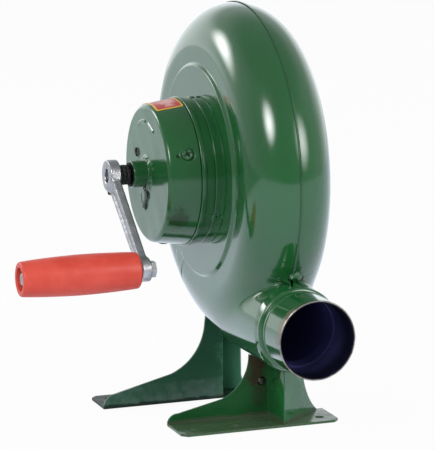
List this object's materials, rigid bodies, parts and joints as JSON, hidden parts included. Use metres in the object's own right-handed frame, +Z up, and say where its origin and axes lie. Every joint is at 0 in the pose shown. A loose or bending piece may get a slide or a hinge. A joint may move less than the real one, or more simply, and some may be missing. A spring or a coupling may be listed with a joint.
{
  "type": "hand crank forge blower",
  "caption": "Hand cranked centrifugal blower with a round pressed housing, geared crank, round side outlet and two folded sheet feet.",
  "frame": {"origin": "middle of the whole object's underside, on the ground", "axes": "+X out of the outlet, +Y along the fan shaft from the crank to the air inlet, +Z up"},
  "size_m": [0.2604, 0.225, 0.2854],
  "materials": {
    "green_enamel": "high gloss dark green enamel",
    "zinc_steel": "zinc plated",
    "dark_steel": "blackened",
    "gear_steel": "turned and greased",
    "sheet_steel": "plain sheet",
    "bronze": "turned",
    "black_collar": "matt black",
    "cast_aluminium": "rough cast",
    "red_plastic": "moulded orange-red",
    "label_paper": "blank red sticker with a yellow edge"
  },
  "bodies": {
    "housing": {"housing_front": "green_enamel", "housing_back": "green_enamel", "outlet_sleeve": "green_enamel", "inlet_guard": "green_enamel", "inlet_guard_screws": "zinc_steel", "gear_base": "green_enamel", "gear_cover": "green_enamel", "gear_base_screws": "zinc_steel", "gear_base_nuts": "zinc_steel", "gear_cover_screws": "green_enamel", "gear_base_rivets": "green_enamel", "label_plate": "label_paper", "fan_bush": "bronze", "crank_bush": "bronze", "lay_axle": "gear_steel", "front_foot": "green_enamel", "rear_foot": "green_enamel", "foot_lug": "green_enamel", "foot_screw": "zinc_steel", "foot_nut": "zinc_steel"},
    "crank": {"crank_shaft": "gear_steel", "crank_gear": "gear_steel", "crank_collar": "black_collar", "crank_arm": "cast_aluminium", "crank_set_screw": "dark_steel", "handle_bolt": "zinc_steel", "handle_washer": "zinc_steel", "handle_nut": "zinc_steel"},
    "lay_gears": {"lay_pinion": "gear_steel", "lay_gear": "gear_steel"},
    "fan": {"fan_shaft": "gear_steel", "fan_pinion": "gear_steel", "fan_spacer": "gear_steel", "impeller_hub": "gear_steel", "impeller_disc": "sheet_steel", "impeller_rivets": "zinc_steel", "impeller_washer": "zinc_steel", "impeller_nut": "zinc_steel", "impeller_blade_1": "sheet_steel", "impeller_blade_2": "sheet_steel", "impeller_blade_3": "sheet_steel", "impeller_blade_4": "sheet_steel", "impeller_blade_5": "sheet_steel", "impeller_blade_6": "sheet_steel", "impeller_blade_7": "sheet_steel", "impeller_blade_8": "sheet_steel"},
    "grip": {"handle_grip": "red_plastic"}
  },
  "joints": [
    {"name": "crank_turn", "type": "hinge", "parent": "housing", "child": "crank", "pos_m": [-0.0138, -0.02593, 0.169], "axis": [0, 1, 0], "continuous": true},
    {"name": "lay_spin", "type": "hinge", "parent": "housing", "child": "lay_gears", "pos_m": [-0.03479, 0.01667, 0.18063], "axis": [0, 1, 0], "continuous": true},
    {"name": "fan_spin", "type": "hinge", "parent": "housing", "child": "fan", "pos_m": [-0.0138, 0.04913, 0.169], "axis": [0, 1, 0], "continuous": true},
    {"name": "grip_spin", "type": "hinge", "parent": "crank", "child": "grip", "pos_m": [0.05406, -0.07147, 0.11617], "axis": [0, 1, 0], "continuous": true}
  ],
  "couplings": [
    {"joint": "lay_spin", "follows": "crank_turn", "ratio": -3},
    {"joint": "fan_spin", "follows": "crank_turn", "ratio": 9}
  ]
}
